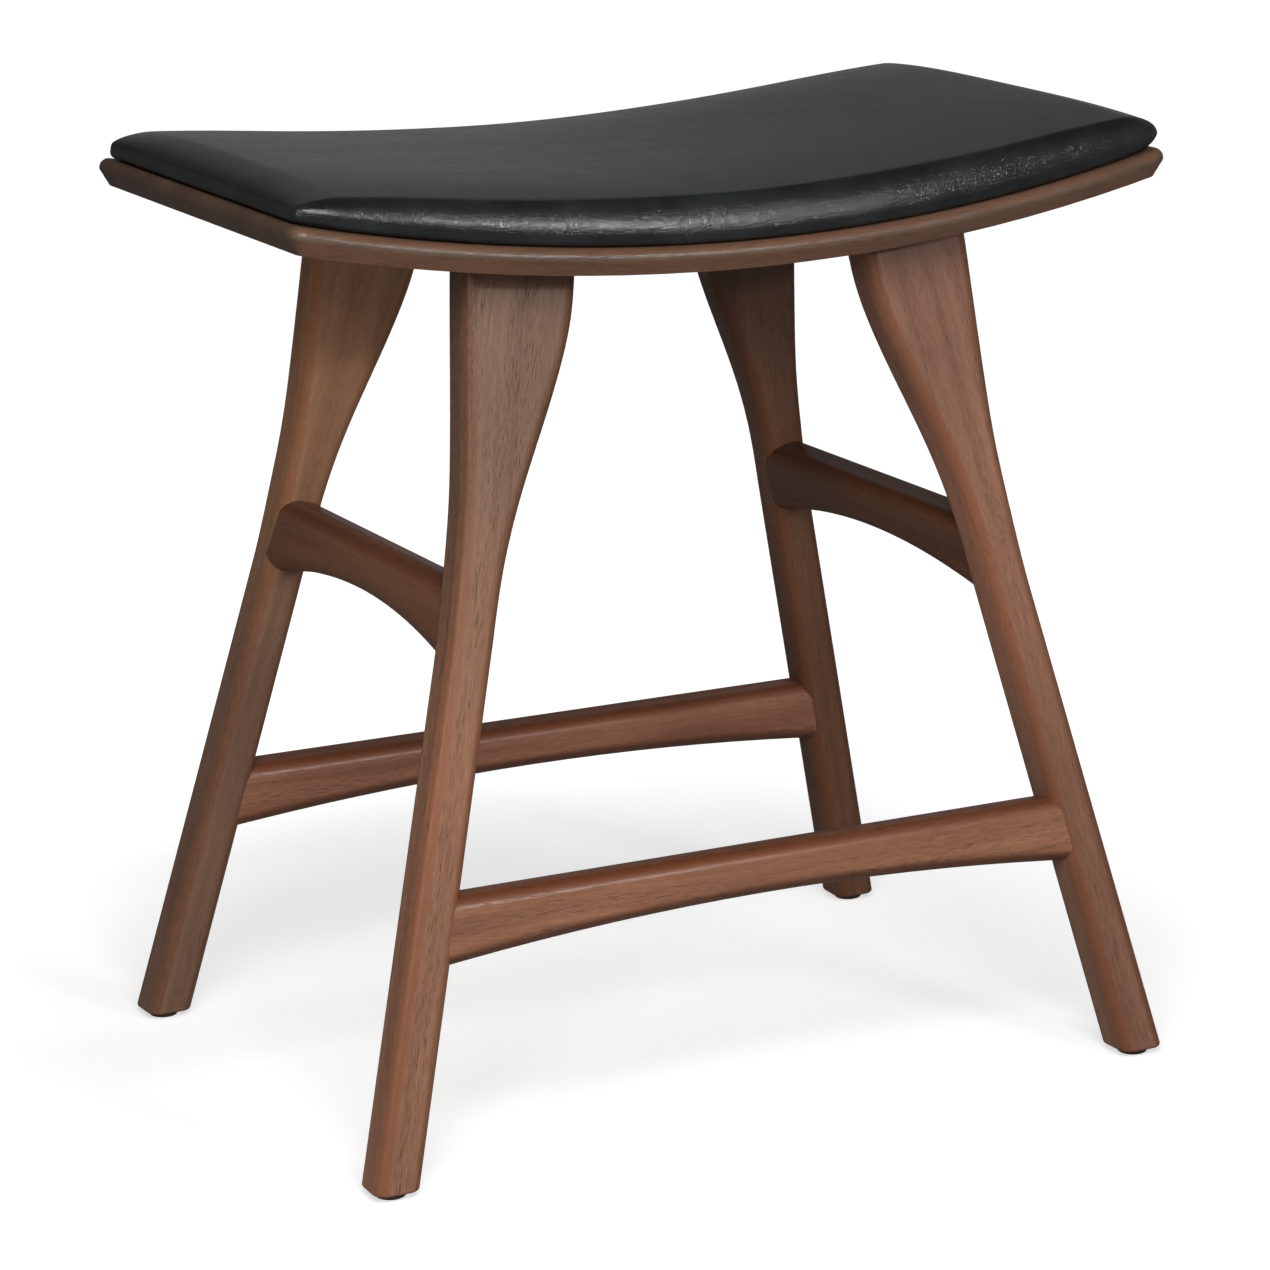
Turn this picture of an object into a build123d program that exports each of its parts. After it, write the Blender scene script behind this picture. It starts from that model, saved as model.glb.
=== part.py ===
from build123d import *
from math import asin, atan, cos, degrees, radians, sin, sqrt, tan
import os

# A low stool in solid wood with a dipped seat panel and an upholstered leather pad.
# X runs along the seat's length, Y across it, Z up. The origin is on the floor, under the middle.
# All lengths are in millimetres and all angles in degrees.

# Seat panel
seat_length = 478.0          # over the ends
seat_end_width = 256.0       # across the two ends
seat_side_bow = 11.0         # how far each long side bows out at its middle
seat_corner = 8.5            # corner radius seen from above
seat_thickness = 13.5
seat_dip = 25.8              # the middle of the sitting face lies this far below its ends
seat_height = 444.0          # floor to the middle of the panel's upper face
seat_edge_round = 4.5        # upper edge
seat_arris_round = 1.5       # where the edge meets the under-bevel
seat_bevel_height = 7.5      # under-bevel, up the edge
seat_bevel_depth = 5.0       # under-bevel, in from the edge

# Upholstered pad
pad_margin = 4.5             # panel left showing round the pad's widest line
pad_end_thickness = 16.5     # at the two ends
pad_fill = 8.5               # extra thickness half-way between the ends, so that the pad dips less
pad_crown = 5.0              # extra thickness along the pad's middle line
pad_corner = 19.0
pad_roll = 10.5              # rounding over of the pad's upper edge
pad_draw_in = 5.0            # rounding in of the pad's sides at the base
pad_board_thickness = 5.0
leather_thickness = 1.2
leather_turn_in = 22.0       # leather folded under the pad's board

# Legs
foot_spacing_length = 425.6  # between leg centre lines at the floor, along X
foot_spacing_width = 300.8   # the same along Y
leg_splay = 13.8             # lean of the leg's centre line along X
leg_rake = 8.3               # lean of the leg along Y
leg_thickness = 25.0         # across the broad faces
leg_round = 7.0              # rounding of the leg's long edges
foot_width = 24.8            # leg width at the floor
foot_round = 1.5             # edge round the foot's underside
neck_width = 23.8            # leg width at the top of its straight part
neck_height = 250.0
shoulder_width = 60.0        # leg width under the seat
shoulder_spacing = 216.4     # between the shoulder middles, along X
blade_height_shares = (0.2, 0.4, 0.6, 0.8)       # heights of the blade's outline points, neck to seat
blade_outer_shares = (0.31, 0.575, 0.74, 0.87)   # outer edge, from neck to shoulder
blade_inner_shares = (0.15, 0.365, 0.64, 0.885)  # inner edge, from neck to shoulder
shoulder_lean = 6.0          # lean of the blade's edges where they meet the seat

# Stretchers
stretcher_thickness = 23.0
stretcher_round = 8.5
long_stretcher_top = 140.0
long_stretcher_depth = 33.0  # at the legs
long_stretcher_arch = 8.5    # rise of the underside at mid-span
side_stretcher_top = 285.5
side_stretcher_depth = 35.5  # at the legs
side_stretcher_arch = 9.5

# Dowels
dowel_diameter = 8.0
dowel_length = 30.0
dowel_spacing = 15.0         # between the two dowels of one joint
dowel_chamfer = 1.0
leg_dowel_diameter = 10.0
leg_dowel_length = 32.0
leg_dowel_spacing = 26.0
leg_dowel_rise = 9.0         # how far the leg dowels reach into the seat panel
glue_gap = 0.1               # round and past the ends of every dowel

# Pad screws and T-nuts
screw_diameter = 5.0
screw_head_diameter = 9.5
screw_head_height = 2.8
screw_hole_gap = 0.25        # round the screw's shank and head
screw_recess = 4.0           # depth of the head's recess in the panel's underside
screw_reach = 14.0           # shank length under the head
screw_place_length = 150.0   # screw positions from the middle, along X
screw_place_width = 62.0     # the same along Y
socket_across_flats = 3.0
socket_depth = 1.6
tnut_flange_diameter = 16.0
tnut_flange_thickness = 1.0
tnut_barrel_diameter = 7.0

# Glides
glide_diameter = 15.6
glide_thickness = 3.7
glide_edge_round = 1.4
pin_diameter = 2.6
pin_head_diameter = 6.4
pin_head_height = 1.0
pin_length = 16.0            # into the leg
pin_recess = 1.8             # depth of the pin head's recess in the glide
pin_gap = 0.05

overrun = 6.0                # how far cutting shapes pass the faces that they cut
angle_overrun = 1.0
edge_tolerance = 0.5         # for finding an edge by its depth

# Worked out from the sizes above
half_length = seat_length / 2
foot_x = foot_spacing_length / 2
foot_y = foot_spacing_width / 2
splay_run = tan(radians(leg_splay))
rake_run = tan(radians(leg_rake))
rake_cos = cos(radians(leg_rake))
splay_cos = cos(radians(leg_splay))
shoulder_x = shoulder_spacing / 2


def radius_of_dip(dip):
    """Radius of an arc over the seat's length that dips so far at its middle."""
    return (half_length ** 2 + dip ** 2) / (2 * dip)


dip_radius = radius_of_dip(seat_dip)
dip_centre = seat_height + dip_radius


def level_at(x, depth):
    """Height of the dipped surface that lies depth below the panel's upper face, at x."""
    return dip_centre - sqrt((dip_radius + depth) ** 2 - x ** 2)


def leg_centre_x(z):
    return foot_x - z * splay_run


def leg_centre_y(z):
    return foot_y - z * rake_run


def leg_inner_x(z):
    """Inner edge of the leg's straight part."""
    return leg_centre_x(z) - (foot_width + (neck_width - foot_width) * z / neck_height) / 2


shoulder_height = level_at(shoulder_x, seat_thickness)
side_stretcher_middle = side_stretcher_top - side_stretcher_depth / 2
long_stretcher_middle = long_stretcher_top - long_stretcher_depth / 2

# Planes and axes
front_frame = Plane(
    origin=(0, -foot_y, 0),
    x_dir=(1, 0, 0),
    z_dir=(0, -cos(radians(leg_rake)), sin(radians(leg_rake))),
)
right_side = Plane(
    origin=(leg_centre_x(side_stretcher_middle), 0, side_stretcher_middle),
    x_dir=(0, 1, 0),
    z_dir=(cos(radians(leg_splay)), 0, sin(radians(leg_splay))),
)

def dipped_slab(lower, upper, crown=0.0, dip=seat_dip, mode=Mode.ADD):
    """A slab dipped along the seat, between two levels above the middle of the panel's upper face."""
    radius = radius_of_dip(dip)
    centre = seat_height + radius
    half_angle = degrees(asin((half_length + overrun) / radius)) + angle_overrun
    half_width = seat_end_width / 2 + seat_side_bow + overrun
    start = Plane(
        origin=(0, 0, centre),
        x_dir=(0, 1, 0),
        z_dir=(cos(radians(half_angle)), 0, -sin(radians(half_angle))),
    )
    with BuildSketch(start) as section:
        with BuildLine():
            Polyline(
                (-half_width, upper - radius),
                (-half_width, lower - radius),
                (half_width, lower - radius),
                (half_width, upper - radius),
            )
            if crown:
                ThreePointArc(
                    (half_width, upper - radius),
                    (0, upper + crown - radius),
                    (-half_width, upper - radius),
                )
            else:
                Line((half_width, upper - radius), (-half_width, upper - radius))
        make_face()
    revolve(
        section.sketch,
        axis=Axis((0, 0, centre), (0, -1, 0)),
        revolution_arc=2 * half_angle,
        mode=mode,
    )


def seat_outline(margin, corner, mode=Mode.INTERSECT):
    """Keeps what lies inside the panel's plan outline, drawn in by a margin."""
    end = seat_length / 2 - margin
    side = seat_end_width / 2 - margin
    with BuildSketch(Plane.XY.offset(seat_height - seat_thickness - overrun)) as plan:
        with BuildLine():
            ThreePointArc((-end, -side), (0, -side - seat_side_bow), (end, -side))
            Line((end, -side), (end, side))
            ThreePointArc((end, side), (0, side + seat_side_bow), (-end, side))
            Line((-end, side), (-end, -side))
        make_face()
        fillet(plan.vertices(), corner)
    rise = seat_thickness + seat_dip + pad_end_thickness + pad_crown + 2 * overrun
    extrude(plan.sketch, amount=rise, mode=mode)


def dipped_faces(shape):
    """The lower and the upper dipped face of a slab."""
    return shape.faces().sort_by(SortBy.AREA)[-2:].sort_by(lambda face: face.center().Z)


def edge_depth(edge):
    """How far an edge's middle lies below the panel's upper face."""
    middle = edge @ 0.5
    return sqrt(middle.X ** 2 + (dip_centre - middle.Z) ** 2) - dip_radius


def dip_place(x, y, level=0.0):
    """A plane square to the dipped seat, with its normal up."""
    turn = asin(x / dip_radius)
    arm = dip_radius - level
    return Plane(
        origin=(arm * sin(turn), y, dip_centre - arm * cos(turn)),
        x_dir=(cos(turn), 0, sin(turn)),
        z_dir=(-sin(turn), 0, cos(turn)),
    )


screw_places = [
    (sx * screw_place_length, sy * screw_place_width) for sx in (-1, 1) for sy in (-1, 1)
]
leg_dowel_places = [
    (sx * (shoulder_x + side * leg_dowel_spacing / 2), sy * leg_centre_y(shoulder_height))
    for sx in (-1, 1)
    for sy in (-1, 1)
    for side in (-1, 1)
]

# Seat panel: dipped along its length, with a broad soft bevel underneath
with BuildPart() as seat_panel:
    dipped_slab(-seat_thickness, 0)
    seat_outline(0, seat_corner)
    under_face = dipped_faces(seat_panel)[0]
    chamfer(under_face.edges(), seat_bevel_depth, seat_bevel_height, reference=under_face)
    upper_face = dipped_faces(seat_panel)[1]
    fillet(upper_face.edges(), seat_edge_round)
    arris_depth = seat_thickness - seat_bevel_height
    arris = [
        edge for edge in seat_panel.edges() if abs(edge_depth(edge) - arris_depth) < edge_tolerance
    ]
    fillet(arris, seat_arris_round)
    with Locations(*[dip_place(x, y, -seat_thickness) for x, y in screw_places]):
        Cylinder(
            screw_head_diameter / 2 + screw_hole_gap,
            2 * screw_recess,
            mode=Mode.SUBTRACT,
        )
        Cylinder(
            screw_diameter / 2 + screw_hole_gap,
            4 * seat_thickness,
            mode=Mode.SUBTRACT,
        )
    for x, y in leg_dowel_places:
        with Locations((x, y, level_at(x, seat_thickness) + leg_dowel_rise + glue_gap)):
            Cylinder(
                leg_dowel_diameter / 2 + glue_gap,
                leg_dowel_length,
                align=(Align.CENTER, Align.CENTER, Align.MAX),
                mode=Mode.SUBTRACT,
            )
seat_panel.part.label = "seat_panel"


def pad_form(skin):
    """The pad's crowned form, a skin's thickness in from its outer surface."""
    pad_top = pad_end_thickness + pad_fill
    dipped_slab(skin, pad_top + overrun)
    dipped_slab(-overrun, pad_top - skin, pad_crown, dip=seat_dip - pad_fill, mode=Mode.INTERSECT)
    seat_outline(pad_margin + skin, pad_corner - skin)


# Leather cover: wraps the pad and turns in under its board
with BuildPart() as pad_core:
    pad_form(leather_thickness)
    core_faces = dipped_faces(pad_core)
    fillet(core_faces[1].edges(), pad_roll - leather_thickness)
    fillet(dipped_faces(pad_core)[0].edges(), pad_draw_in - leather_thickness)

with BuildPart() as leather_cover:
    pad_form(0)
    fillet(dipped_faces(leather_cover)[1].edges(), pad_roll)
    fillet(dipped_faces(leather_cover)[0].edges(), pad_draw_in)
    add(pad_core.part, mode=Mode.SUBTRACT)
    with BuildPart(mode=Mode.PRIVATE) as turn_in_window:
        dipped_slab(-overrun, 2 * leather_thickness)
        seat_outline(pad_margin + leather_turn_in, pad_corner)
    add(turn_in_window.part, mode=Mode.SUBTRACT)
leather_cover.part.label = "leather_cover"

# T-nuts: barrels down through the pad's board, flanges on its upper face
with BuildPart() as pad_tnuts:
    with Locations(*[dip_place(x, y, leather_thickness) for x, y in screw_places]):
        Cylinder(
            tnut_barrel_diameter / 2,
            pad_board_thickness,
            align=(Align.CENTER, Align.CENTER, Align.MIN),
        )
    board_top = leather_thickness + pad_board_thickness
    with Locations(*[dip_place(x, y, board_top) for x, y in screw_places]):
        Cylinder(
            tnut_flange_diameter / 2,
            tnut_flange_thickness,
            align=(Align.CENTER, Align.CENTER, Align.MIN),
        )
    with Locations(*[dip_place(x, y) for x, y in screw_places]):
        Cylinder(screw_diameter / 2 + glue_gap, 4 * board_top, mode=Mode.SUBTRACT)
pad_tnuts.part.label = "pad_tnuts"

# Pad board: moulded plywood that carries the foam
with BuildPart() as pad_board:
    add(pad_core.part)
    dipped_slab(-overrun, board_top, mode=Mode.INTERSECT)
    add(pad_tnuts.part, mode=Mode.SUBTRACT)
    with Locations(*[dip_place(x, y) for x, y in screw_places]):
        Cylinder(screw_diameter / 2 + glue_gap, 4 * board_top, mode=Mode.SUBTRACT)
pad_board.part.label = "pad_board"

# Foam: fills the leather cover above the board
with BuildPart() as pad_foam:
    add(pad_core.part)
    dipped_slab(-overrun, board_top, mode=Mode.SUBTRACT)
    add(pad_tnuts.part, mode=Mode.SUBTRACT)
    with Locations(*[dip_place(x, y, board_top) for x, y in screw_places]):
        Cylinder(
            screw_diameter / 2 + glue_gap,
            pad_board_thickness,
            align=(Align.CENTER, Align.CENTER, Align.CENTER),
            mode=Mode.SUBTRACT,
        )
pad_foam.part.label = "pad_foam"

# Pad screws: button heads in recesses under the seat, driven up into the T-nuts
with BuildPart() as pad_screw:
    Cylinder(
        screw_diameter / 2,
        screw_reach,
        align=(Align.CENTER, Align.CENTER, Align.MIN),
    )
    Cylinder(
        screw_head_diameter / 2,
        screw_head_height,
        align=(Align.CENTER, Align.CENTER, Align.MAX),
    )
    fillet(pad_screw.edges().group_by(Axis.Z)[0], screw_head_height / 2)
    with BuildSketch(Plane.XY.offset(-screw_head_height)):
        RegularPolygon(socket_across_flats / 2, 6, major_radius=False)
    extrude(amount=socket_depth, mode=Mode.SUBTRACT)

with BuildPart() as pad_screws:
    with Locations(*[dip_place(x, y, screw_recess - seat_thickness) for x, y in screw_places]):
        add(pad_screw.part)
pad_screws.part.label = "pad_screws"


# Legs: a straight tapered foot that swells into a broad blade under the seat
def blade_points(neck_edge, shoulder_edge, shares):
    """Outline points of the blade's edge, on the front frame's plane."""
    points = []
    for height_share, share in zip(blade_height_shares, shares):
        z = neck_height + (shoulder_height - neck_height) * height_share
        points.append((neck_edge + (shoulder_edge - neck_edge) * share, z / rake_cos))
    return points


neck_x = leg_centre_x(neck_height)
leg_top = shoulder_height + overrun
top_lean = tan(radians(shoulder_lean)) * (leg_top - shoulder_height)
outer_top = shoulder_x + shoulder_width / 2
inner_top = shoulder_x - shoulder_width / 2
foot_tangent = (-splay_run, 1 / rake_cos)
top_tangent = (-tan(radians(shoulder_lean)), 1 / rake_cos)

with BuildPart() as leg_blank:
    with BuildSketch(front_frame):
        with BuildLine():
            outer_neck = (neck_x + neck_width / 2, neck_height / rake_cos)
            inner_neck = (neck_x - neck_width / 2, neck_height / rake_cos)
            outer_shoulder = (outer_top - top_lean, leg_top / rake_cos)
            inner_shoulder = (inner_top - top_lean, leg_top / rake_cos)
            Line((foot_x + foot_width / 2, 0), outer_neck)
            Spline(
                outer_neck,
                *blade_points(outer_neck[0], outer_top, blade_outer_shares),
                outer_shoulder,
                tangents=(foot_tangent, top_tangent),
            )
            Line(outer_shoulder, inner_shoulder)
            Spline(
                inner_neck,
                *blade_points(inner_neck[0], inner_top, blade_inner_shares),
                inner_shoulder,
                tangents=(foot_tangent, top_tangent),
            )
            Line(inner_neck, (foot_x - foot_width / 2, 0))
            Line((foot_x - foot_width / 2, 0), (foot_x + foot_width / 2, 0))
        make_face()
    extrude(amount=leg_thickness / 2, both=True)
    fillet(leg_blank.edges().sort_by(SortBy.LENGTH)[-8:], leg_round)
    split(bisect_by=Plane.XY.offset(glide_thickness), keep=Keep.TOP)
    fillet(leg_blank.edges().group_by(Axis.Z)[0], foot_round)
    with BuildSketch(Plane.XZ.offset(-foot_y)):
        with BuildLine():
            end_level = level_at(half_length, seat_thickness)
            ceiling = leg_top + seat_dip + overrun
            ThreePointArc(
                (-half_length, end_level),
                (0, level_at(0, seat_thickness)),
                (half_length, end_level),
            )
            Polyline(
                (half_length, end_level),
                (half_length, ceiling),
                (-half_length, ceiling),
                (-half_length, end_level),
            )
        make_face()
    extrude(amount=foot_spacing_width, mode=Mode.SUBTRACT)


def dowel_heights(middle):
    return [middle - dowel_spacing / 2, middle + dowel_spacing / 2]


def inner_face_y(z):
    """Face of the leg that looks across to the leg behind it."""
    return leg_centre_y(z) - leg_thickness / 2 / rake_cos


side_joints = [
    (leg_centre_x(z), inner_face_y(z), z) for z in dowel_heights(side_stretcher_middle)
]
long_joints = [
    (leg_inner_x(z), leg_centre_y(z), z) for z in dowel_heights(long_stretcher_middle)
]


def mirrored(places, flip_x, flip_y):
    return [(flip_x * x, flip_y * y, z) for x, y, z in places]


def dowel_planes(places, direction):
    """Planes square to the dowels, at their middles."""
    return [Plane(origin=place, z_dir=direction) for place in places]


def dowel_holes(places, direction):
    """Blind holes of both pieces at each dowel."""
    with Locations(*dowel_planes(places, direction)):
        Cylinder(
            dowel_diameter / 2 + glue_gap,
            dowel_length + 2 * glue_gap,
            mode=Mode.SUBTRACT,
        )


along_x = (1, 0, 0)
along_y = (0, 1, 0)

with BuildPart() as front_right_leg:
    add(leg_blank.part)
    dowel_holes(mirrored(side_joints, 1, -1), along_y)
    dowel_holes(mirrored(long_joints, 1, -1), along_x)
    for x, y in leg_dowel_places:
        if x > 0 and y < 0:
            with Locations((x, y, level_at(x, seat_thickness) + leg_dowel_rise)):
                Cylinder(
                    leg_dowel_diameter / 2 + glue_gap,
                    leg_dowel_length + glue_gap,
                    align=(Align.CENTER, Align.CENTER, Align.MAX),
                    mode=Mode.SUBTRACT,
                )
    with Locations((leg_centre_x(glide_thickness), -leg_centre_y(glide_thickness), glide_thickness)):
        Cylinder(
            pin_diameter / 2 + pin_gap,
            2 * (pin_length + pin_gap),
            mode=Mode.SUBTRACT,
        )
front_right_leg.part.label = "front_right_leg"

with BuildPart() as front_left_leg:
    mirror(front_right_leg.part, about=Plane.YZ)
front_left_leg.part.label = "front_left_leg"

with BuildPart() as back_right_leg:
    mirror(front_right_leg.part, about=Plane.XZ)
back_right_leg.part.label = "back_right_leg"

with BuildPart() as back_left_leg:
    mirror(front_left_leg.part, about=Plane.XZ)
back_left_leg.part.label = "back_left_leg"

# Pairs of leg blanks, for shaping the stretchers' ends
with BuildPart() as front_pair:
    add(leg_blank.part)
    mirror(leg_blank.part, about=Plane.YZ)
with BuildPart() as right_pair:
    add(leg_blank.part)
    mirror(leg_blank.part, about=Plane.XZ)


def arched_rail(half_top, half_low, half_arch, top, low, arch):
    """Outline of a stretcher: straight above, arched below, its ends running on along the arch's tangents."""
    end_low = low - (half_low - half_arch) * tan(2 * atan(arch / half_arch))
    with BuildLine() as outline:
        Polyline(
            (-half_arch, low),
            (-half_low, end_low),
            (-half_top, top),
            (half_top, top),
            (half_low, end_low),
            (half_arch, low),
        )
        ThreePointArc((half_arch, low), (0, low + arch), (-half_arch, low))
    return outline.line


# Long stretchers: low, one between the front legs and one between the back legs
with BuildPart() as front_stretcher:
    long_low_edge = long_stretcher_top - long_stretcher_depth
    with BuildSketch(front_frame):
        with BuildLine():
            add(
                arched_rail(
                    leg_inner_x(long_stretcher_top) + leg_round,
                    leg_inner_x(long_low_edge) + leg_round,
                    leg_inner_x(long_low_edge) - leg_round,
                    long_stretcher_top / rake_cos,
                    long_low_edge / rake_cos,
                    long_stretcher_arch / rake_cos,
                )
            )
        make_face()
    extrude(amount=stretcher_thickness / 2, both=True)
    fillet(front_stretcher.edges().sort_by(SortBy.LENGTH)[-4:], stretcher_round)
    add(front_pair.part, mode=Mode.SUBTRACT)
    dowel_holes(mirrored(long_joints, 1, -1) + mirrored(long_joints, -1, -1), along_x)
front_stretcher.part.label = "front_stretcher"

with BuildPart() as back_stretcher:
    mirror(front_stretcher.part, about=Plane.XZ)
back_stretcher.part.label = "back_stretcher"

# Side stretchers: short and high, one at each end
with BuildPart() as right_side_stretcher:
    side_low_edge = side_stretcher_top - side_stretcher_depth
    with BuildSketch(right_side):
        with BuildLine():
            add(
                arched_rail(
                    inner_face_y(side_stretcher_top) + leg_round,
                    inner_face_y(side_low_edge) + leg_round,
                    inner_face_y(side_low_edge) - leg_round,
                    side_stretcher_depth / 2 / splay_cos,
                    -side_stretcher_depth / 2 / splay_cos,
                    side_stretcher_arch / splay_cos,
                )
            )
        make_face()
    extrude(amount=stretcher_thickness / 2, both=True)
    fillet(right_side_stretcher.edges().sort_by(SortBy.LENGTH)[-4:], stretcher_round)
    add(right_pair.part, mode=Mode.SUBTRACT)
    dowel_holes(mirrored(side_joints, 1, 1) + mirrored(side_joints, 1, -1), along_y)
right_side_stretcher.part.label = "right_side_stretcher"

with BuildPart() as left_side_stretcher:
    mirror(right_side_stretcher.part, about=Plane.YZ)
left_side_stretcher.part.label = "left_side_stretcher"


# Dowels
def dowels(places, direction):
    with Locations(*dowel_planes(places, direction)):
        Cylinder(dowel_diameter / 2, dowel_length)


def chamfer_ends(builder):
    chamfer(builder.edges().filter_by(GeomType.CIRCLE), dowel_chamfer)


with BuildPart() as front_stretcher_dowels:
    dowels(mirrored(long_joints, 1, -1) + mirrored(long_joints, -1, -1), along_x)
    chamfer_ends(front_stretcher_dowels)
front_stretcher_dowels.part.label = "front_stretcher_dowels"

with BuildPart() as back_stretcher_dowels:
    mirror(front_stretcher_dowels.part, about=Plane.XZ)
back_stretcher_dowels.part.label = "back_stretcher_dowels"

with BuildPart() as right_side_stretcher_dowels:
    dowels(mirrored(side_joints, 1, 1) + mirrored(side_joints, 1, -1), along_y)
    chamfer_ends(right_side_stretcher_dowels)
right_side_stretcher_dowels.part.label = "right_side_stretcher_dowels"

with BuildPart() as left_side_stretcher_dowels:
    mirror(right_side_stretcher_dowels.part, about=Plane.YZ)
left_side_stretcher_dowels.part.label = "left_side_stretcher_dowels"

with BuildPart() as front_right_leg_dowels:
    for x, y in leg_dowel_places:
        if x > 0 and y < 0:
            with Locations((x, y, level_at(x, seat_thickness) + leg_dowel_rise)):
                Cylinder(
                    leg_dowel_diameter / 2,
                    leg_dowel_length,
                    align=(Align.CENTER, Align.CENTER, Align.MAX),
                )
    chamfer_ends(front_right_leg_dowels)
front_right_leg_dowels.part.label = "front_right_leg_dowels"

with BuildPart() as front_left_leg_dowels:
    mirror(front_right_leg_dowels.part, about=Plane.YZ)
front_left_leg_dowels.part.label = "front_left_leg_dowels"

with BuildPart() as back_right_leg_dowels:
    mirror(front_right_leg_dowels.part, about=Plane.XZ)
back_right_leg_dowels.part.label = "back_right_leg_dowels"

with BuildPart() as back_left_leg_dowels:
    mirror(front_left_leg_dowels.part, about=Plane.XZ)
back_left_leg_dowels.part.label = "back_left_leg_dowels"

# Glides: one disc under each foot, held by a pin with its head in a recess
glide_place = (leg_centre_x(glide_thickness), -leg_centre_y(glide_thickness), 0)
with BuildPart() as front_right_glide:
    with Locations(glide_place):
        Cylinder(
            glide_diameter / 2,
            glide_thickness,
            align=(Align.CENTER, Align.CENTER, Align.MIN),
        )
    fillet(front_right_glide.edges().group_by(Axis.Z)[0], glide_edge_round)
    with Locations(glide_place):
        Cylinder(pin_head_diameter / 2 + pin_gap, 2 * pin_recess, mode=Mode.SUBTRACT)
        Cylinder(pin_diameter / 2 + pin_gap, 4 * glide_thickness, mode=Mode.SUBTRACT)
front_right_glide.part.label = "front_right_glide"

with BuildPart() as front_left_glide:
    mirror(front_right_glide.part, about=Plane.YZ)
front_left_glide.part.label = "front_left_glide"

with BuildPart() as back_right_glide:
    mirror(front_right_glide.part, about=Plane.XZ)
back_right_glide.part.label = "back_right_glide"

with BuildPart() as back_left_glide:
    mirror(front_left_glide.part, about=Plane.XZ)
back_left_glide.part.label = "back_left_glide"

with BuildPart() as front_right_pin:
    with Locations((glide_place[0], glide_place[1], pin_recess)):
        Cylinder(
            pin_head_diameter / 2,
            pin_head_height,
            align=(Align.CENTER, Align.CENTER, Align.MAX),
        )
        Cylinder(
            pin_diameter / 2,
            glide_thickness - pin_recess + pin_length,
            align=(Align.CENTER, Align.CENTER, Align.MIN),
        )

with BuildPart() as glide_pins:
    add(front_right_pin.part)
    mirror(front_right_pin.part, about=Plane.YZ)
    mirror(glide_pins.part, about=Plane.XZ)
glide_pins.part.label = "glide_pins"

os.makedirs("parts", exist_ok=True)
for piece in (
    seat_panel,
    leather_cover,
    pad_foam,
    pad_board,
    pad_tnuts,
    pad_screws,
    front_left_leg,
    front_right_leg,
    back_left_leg,
    back_right_leg,
    front_left_leg_dowels,
    front_right_leg_dowels,
    back_left_leg_dowels,
    back_right_leg_dowels,
    front_stretcher,
    back_stretcher,
    left_side_stretcher,
    right_side_stretcher,
    front_stretcher_dowels,
    back_stretcher_dowels,
    left_side_stretcher_dowels,
    right_side_stretcher_dowels,
    front_left_glide,
    front_right_glide,
    back_left_glide,
    back_right_glide,
    glide_pins,
):
    export_step(piece.part, f"parts/{piece.part.label}.step")
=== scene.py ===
# Leather stool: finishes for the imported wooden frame, and the upholstered pad made over it.
import math
import bpy
import numpy as np
from mathutils import Matrix, Vector


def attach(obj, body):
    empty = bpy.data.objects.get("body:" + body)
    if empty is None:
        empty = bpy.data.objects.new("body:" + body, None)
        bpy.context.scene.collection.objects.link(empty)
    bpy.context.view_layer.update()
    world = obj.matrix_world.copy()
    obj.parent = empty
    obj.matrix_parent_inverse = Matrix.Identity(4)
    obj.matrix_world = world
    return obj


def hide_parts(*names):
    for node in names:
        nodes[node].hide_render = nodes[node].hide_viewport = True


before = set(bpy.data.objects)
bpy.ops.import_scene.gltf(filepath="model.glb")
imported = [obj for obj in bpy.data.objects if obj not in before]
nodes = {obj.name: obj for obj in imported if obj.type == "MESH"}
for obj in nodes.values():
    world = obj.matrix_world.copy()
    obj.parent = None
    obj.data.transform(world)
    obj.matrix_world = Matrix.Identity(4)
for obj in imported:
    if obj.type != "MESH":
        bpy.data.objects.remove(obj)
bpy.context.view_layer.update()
print("stool: frame loaded with", len(nodes), "nodes")


def tone(red, green, blue):
    # screen colour 0-255 to the linear colour a shader takes
    screen = np.array([red, green, blue]) / 255.0
    linear = np.where(screen <= 0.04045, screen / 12.92, ((screen + 0.055) / 1.055) ** 2.4)
    return tuple(linear.tolist()) + (1.0,)


def feed(tree, socket, value):
    # a link where the value comes out of a node, else the socket's own value
    if isinstance(value, bpy.types.NodeSocket):
        tree.links.new(value, socket)
    else:
        socket.default_value = value


def setInputs(tree, node, **inputs):
    # each word names an input socket, with underscores for its spaces
    for name, value in inputs.items():
        feed(tree, node.inputs[name.replace("_", " ")], value)
    return node


def addNode(tree, kind, **inputs):
    return setInputs(tree, tree.nodes.new("ShaderNode" + kind), **inputs)


def newMaterial(name):
    material = bpy.data.materials.new(name)
    material.use_nodes = True
    tree = material.node_tree
    return material, tree, tree.nodes["Principled BSDF"]


def mathNode(tree, operation, first, second=0.5, third=0.5, clamp=False):
    node = tree.nodes.new("ShaderNodeMath")
    node.operation = operation
    node.use_clamp = clamp
    for socket, value in zip(node.inputs, (first, second, third)):
        feed(tree, socket, value)
    return node.outputs[0]


def product(tree, first, *others):
    for other in others:
        first = mathNode(tree, "MULTIPLY", first, other)
    return first


def shareOf(tree, value, share, rest):
    # value times share, plus the rest
    return mathNode(tree, "MULTIPLY_ADD", value, share, rest)


def vectorNode(tree, operation, first, second, output=0):
    node = tree.nodes.new("ShaderNodeVectorMath")
    node.operation = operation
    for socket, value in zip(node.inputs, (first, second)):
        feed(tree, socket, value)
    return node.outputs[output]


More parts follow.
